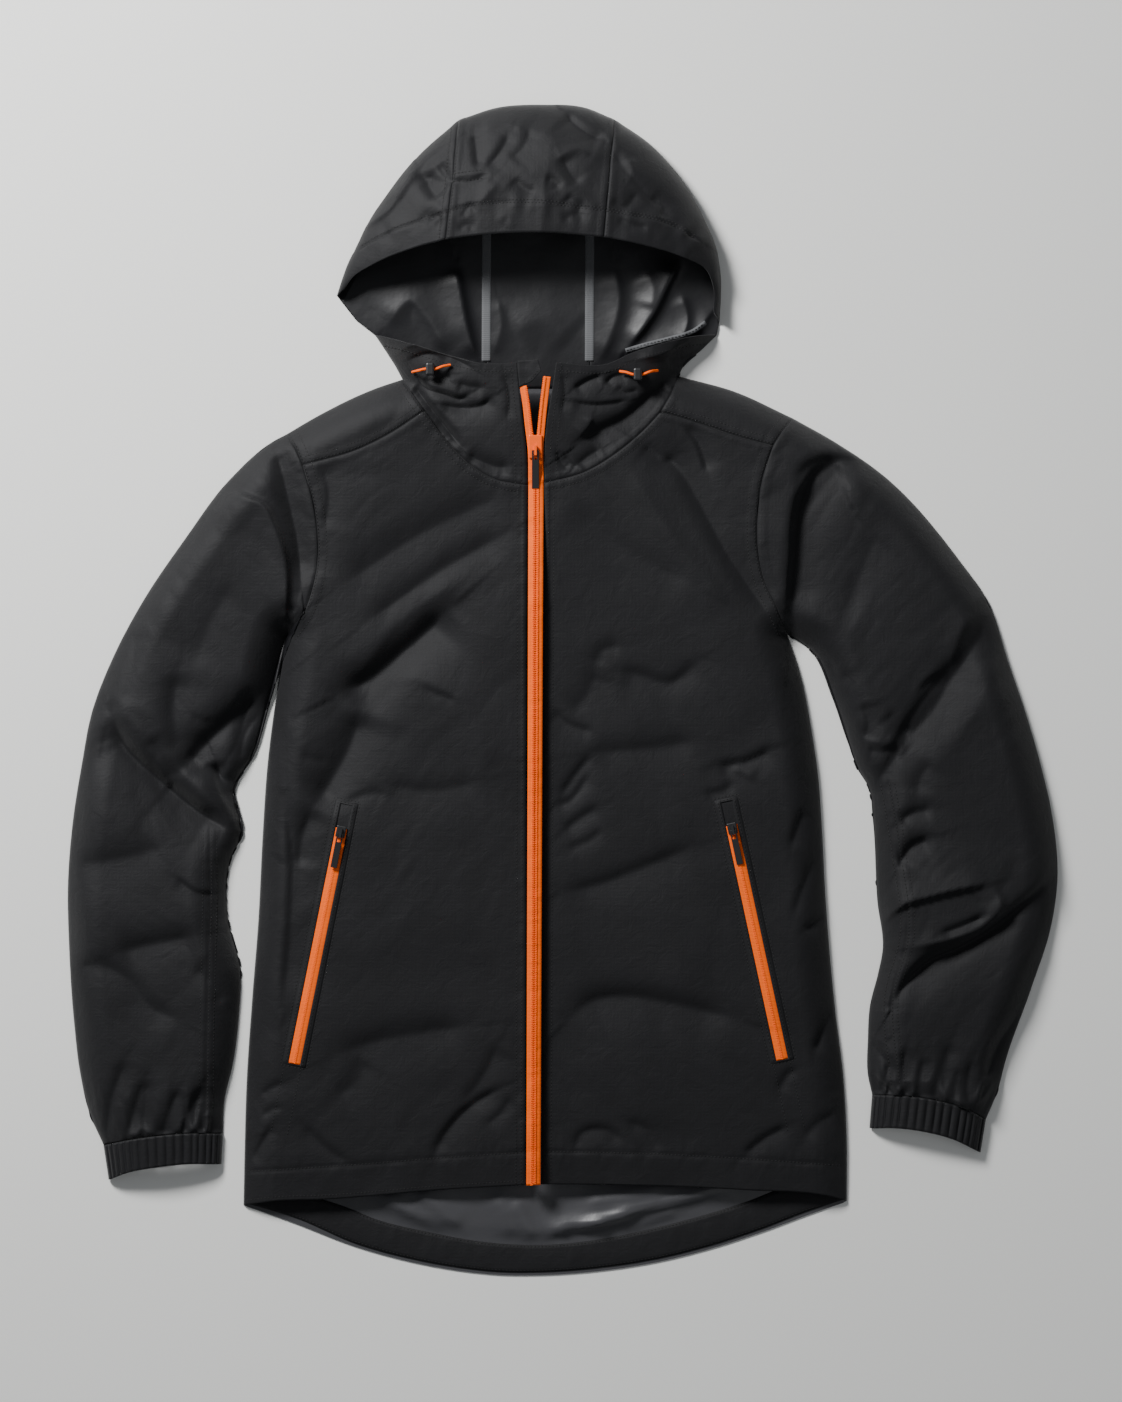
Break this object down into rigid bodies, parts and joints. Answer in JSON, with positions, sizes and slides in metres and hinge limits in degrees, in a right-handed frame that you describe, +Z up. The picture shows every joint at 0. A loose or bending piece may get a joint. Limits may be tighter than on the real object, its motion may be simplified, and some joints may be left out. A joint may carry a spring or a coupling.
{
  "type": "rain shell jacket",
  "caption": "Hooded rain shell jacket laid flat on its back, with a full front zip, slanted zip pockets, gathered cuffs and a dropped tail hem.",
  "frame": {"origin": "on the table under the back panel, at the middle of the box round the garment as it lies", "axes": "+Z up from the table out of the front of the jacket, +Y up the garment towards the hood, +X towards the wearer's left sleeve"},
  "size_m": [0.9392, 1.1113, 0.0638],
  "materials": {
    "shell": "matt charcoal-black woven shell cloth",
    "coated_inside": "grey coated inner face, satin",
    "seam_tape": "light grey welded seam tape",
    "orange_tape": "orange zip tape and coil",
    "orange_metal": "orange painted slider",
    "black_plastic": "moulded black",
    "elastic_cord": "orange braided elastic"
  },
  "bodies": {
    "jacket": {"back_panel": "coated_inside", "back_hem": "shell", "front_right": "shell", "front_left": "shell", "yoke_right": "shell", "yoke_left": "shell", "collar_right": "shell", "collar_left": "shell", "sleeve_top_right": "shell", "sleeve_top_left": "shell", "sleeve_under_right": "shell", "sleeve_under_left": "shell", "cuff_right": "shell", "cuff_left": "shell", "hood_right": "shell", "hood_centre": "shell", "hood_left": "shell", "hood_tape_right": "seam_tape", "hood_tape_left": "seam_tape", "zip_half_right": "orange_tape", "zip_half_left": "orange_tape", "zip_box": "orange_metal", "chin_flap": "shell", "pocket_zip_right": "orange_tape", "pocket_zip_left": "orange_tape", "pocket_welt_right": "shell", "pocket_welt_left": "shell", "centre_slider": "orange_metal", "pocket_right_slider": "black_plastic", "pocket_left_slider": "black_plastic", "drawcord_right": "elastic_cord", "drawcord_left": "elastic_cord", "cord_lock_right": "black_plastic", "cord_lock_left": "black_plastic"},
    "centre_pull": {"centre_pull": "black_plastic"},
    "pocket_right_pull": {"pocket_right_pull": "black_plastic"},
    "pocket_left_pull": {"pocket_left_pull": "black_plastic"}
  },
  "joints": [
    {"name": "centre_pull_lift", "type": "hinge", "parent": "jacket", "child": "centre_pull", "pos_m": [-0.0255, 0.22569, 0.03574], "axis": [-1, 0, 0], "range_deg": [0, 150]},
    {"name": "pocket_right_pull_lift", "type": "hinge", "parent": "jacket", "child": "pocket_right_pull", "pos_m": [-0.21, -0.13596, 0.03075], "axis": [-0.9802, 0.1978, 0], "range_deg": [0, 150]},
    {"name": "pocket_left_pull_lift", "type": "hinge", "parent": "jacket", "child": "pocket_left_pull", "pos_m": [0.16107, -0.13296, 0.03092], "axis": [-0.9774, -0.2113, 0], "range_deg": [0, 150]}
  ]
}
